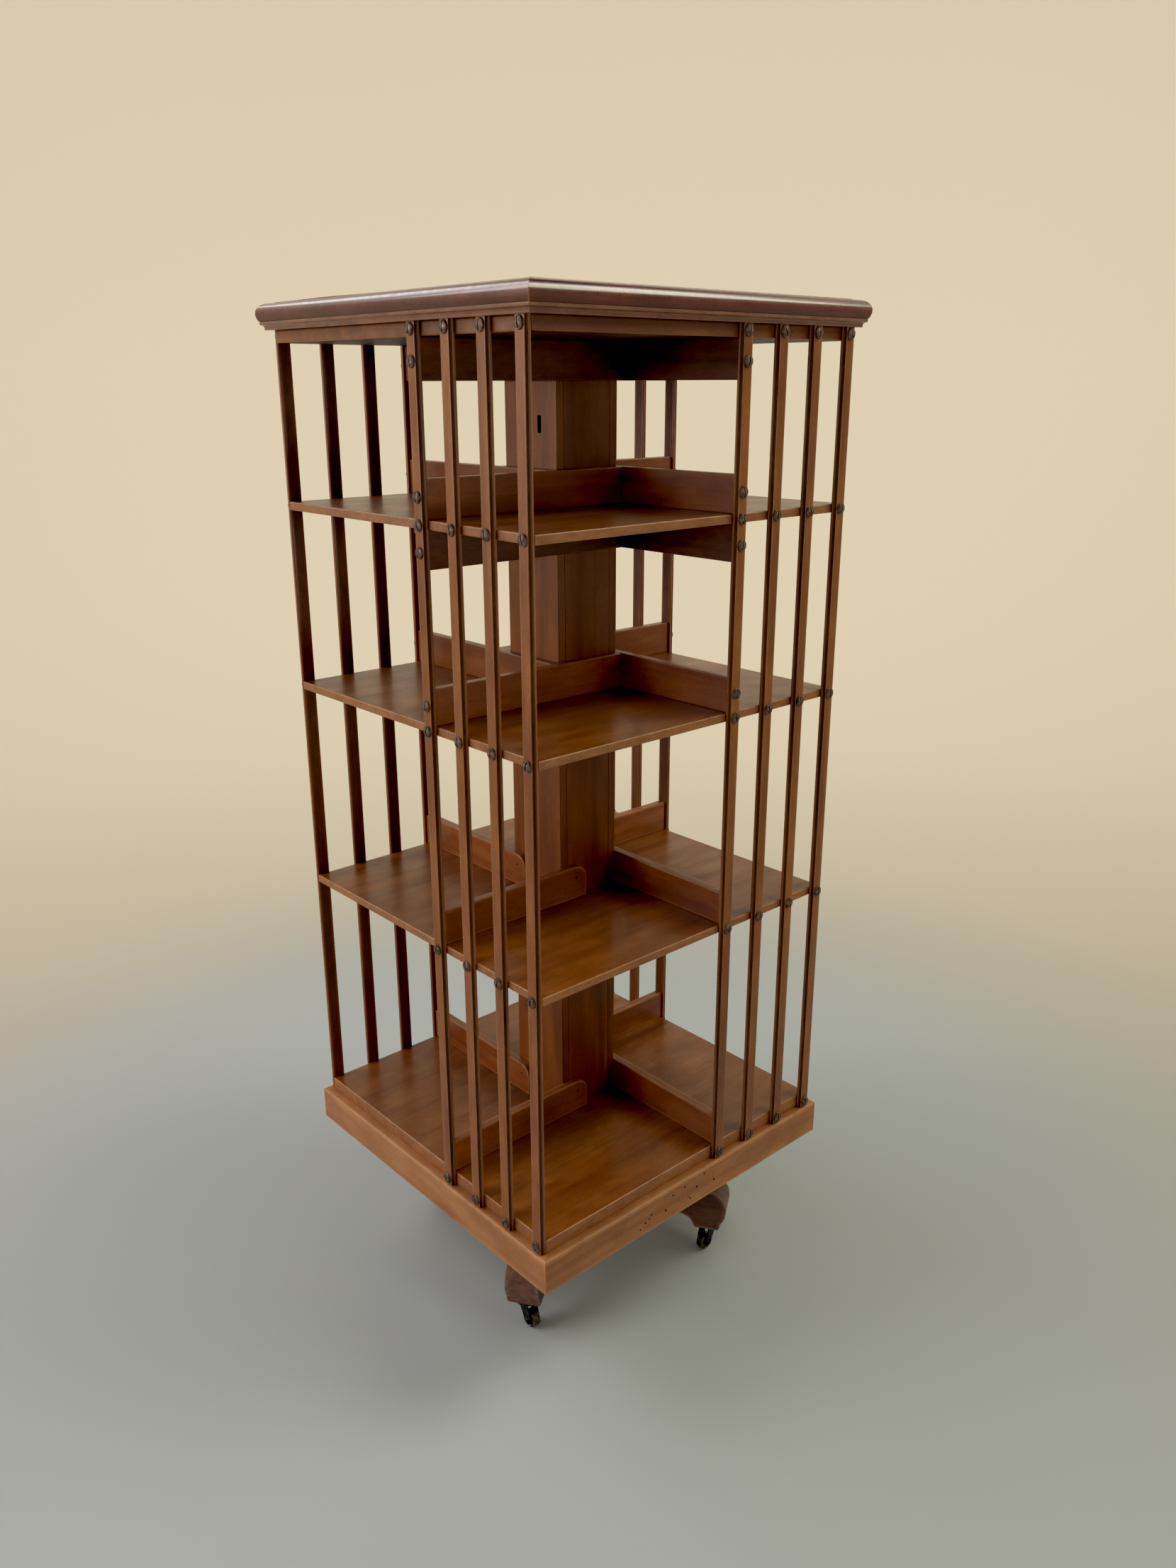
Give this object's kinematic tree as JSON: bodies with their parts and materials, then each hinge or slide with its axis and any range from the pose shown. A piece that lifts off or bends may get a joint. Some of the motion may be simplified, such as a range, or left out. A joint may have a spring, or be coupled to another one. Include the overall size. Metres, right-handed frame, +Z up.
{
  "type": "revolving bookcase",
  "caption": "Square floor-standing bookcase with slatted sides and open bays, turning on a low cross base with scrolled feet and small casters.",
  "frame": {"origin": "on the floor at the axis that the case turns about", "axes": "+Z up along the spin axis; X and Y square to the case's sides, the front side faces -Y"},
  "size_m": [0.5952, 0.5952, 1.492],
  "materials": {
    "case_wood": "satin",
    "top_wood": "gloss",
    "column_wood": "satin",
    "base_wood": "satin",
    "iron": "satin",
    "brass": "satin",
    "bronzed_screw": "satin",
    "bronzed_cup": "satin",
    "caster_metal": "satin",
    "caster_brass": "satin"
  },
  "bodies": {
    "base": {"lower_cross_bar": "base_wood", "upper_cross_bar": "base_wood", "centre_post": "base_wood", "pivot_pin": "iron", "post_collar": "iron", "caster_plates": "iron", "base_screws": "iron"},
    "case": {"plinth_rail_front": "case_wood", "plinth_rail_right": "case_wood", "plinth_rail_back": "case_wood", "plinth_rail_left": "case_wood", "bottom_board": "case_wood", "lower_shelf": "case_wood", "middle_shelf": "case_wood", "upper_shelf": "case_wood", "top_board": "case_wood", "column_front": "column_wood", "column_right": "column_wood", "column_back": "column_wood", "column_left": "column_wood", "column_plate": "brass", "slat_front_1": "case_wood", "slat_front_2": "case_wood", "slat_front_3": "case_wood", "slat_front_4": "case_wood", "slat_right_1": "case_wood", "slat_right_2": "case_wood", "slat_right_3": "case_wood", "slat_right_4": "case_wood", "slat_back_1": "case_wood", "slat_back_2": "case_wood", "slat_back_3": "case_wood", "slat_back_4": "case_wood", "slat_left_1": "case_wood", "slat_left_2": "case_wood", "slat_left_3": "case_wood", "slat_left_4": "case_wood", "slat_screws": "bronzed_screw", "screw_cups": "bronzed_cup", "hanging_rails": "case_wood", "long_stop_rails": "case_wood", "short_stop_rails": "case_wood", "rail_pins": "iron", "top_moulding_front": "top_wood", "top_moulding_right": "top_wood", "top_moulding_back": "top_wood", "top_moulding_left": "top_wood", "top_panel": "top_wood", "pivot_bearer": "case_wood", "pivot_cup": "brass", "guide_ring": "brass", "bearing_screws": "iron"},
    "caster_back_right": {"caster_horn_back_right": "caster_metal"},
    "wheel_back_right": {"caster_wheel_back_right": "caster_brass"},
    "caster_back_left": {"caster_horn_back_left": "caster_metal"},
    "wheel_back_left": {"caster_wheel_back_left": "caster_brass"},
    "caster_front_left": {"caster_horn_front_left": "caster_metal"},
    "wheel_front_left": {"caster_wheel_front_left": "caster_brass"},
    "caster_front_right": {"caster_horn_front_right": "caster_metal"},
    "wheel_front_right": {"caster_wheel_front_right": "caster_brass"}
  },
  "joints": [
    {"name": "case_spin", "type": "hinge", "parent": "base", "child": "case", "pos_m": [0, 0, 0.26], "axis": [0, 0, 1], "continuous": true},
    {"name": "caster_swivel_back_right", "type": "hinge", "parent": "base", "child": "caster_back_right", "pos_m": [0.20157, 0.1375, 0.045], "axis": [0, 0, 1], "continuous": true},
    {"name": "wheel_roll_back_right", "type": "hinge", "parent": "caster_back_right", "child": "wheel_back_right", "pos_m": [0.19641, 0.14487, 0.014], "axis": [-0.8192, -0.5736, 0], "continuous": true},
    {"name": "caster_swivel_back_left", "type": "hinge", "parent": "base", "child": "caster_back_left", "pos_m": [-0.1375, 0.20157, 0.045], "axis": [0, 0, 1], "continuous": true},
    {"name": "wheel_roll_back_left", "type": "hinge", "parent": "caster_back_left", "child": "wheel_back_left", "pos_m": [-0.13061, 0.20735, 0.014], "axis": [-0.6428, 0.766, 0], "continuous": true},
    {"name": "caster_swivel_front_left", "type": "hinge", "parent": "base", "child": "caster_front_left", "pos_m": [-0.20157, -0.1375, 0.045], "axis": [0, 0, 1], "continuous": true},
    {"name": "wheel_roll_front_left", "type": "hinge", "parent": "caster_front_left", "child": "wheel_front_left", "pos_m": [-0.20078, -0.14647, 0.014], "axis": [0.9962, 0.0872, 0], "continuous": true},
    {"name": "caster_swivel_front_right", "type": "hinge", "parent": "base", "child": "caster_front_right", "pos_m": [0.1375, -0.20157, 0.045], "axis": [0, 0, 1], "continuous": true},
    {"name": "wheel_roll_front_right", "type": "hinge", "parent": "caster_front_right", "child": "wheel_front_right", "pos_m": [0.1285, -0.20172, 0.014], "axis": [0.0175, -0.9998, 0], "continuous": true}
  ]
}
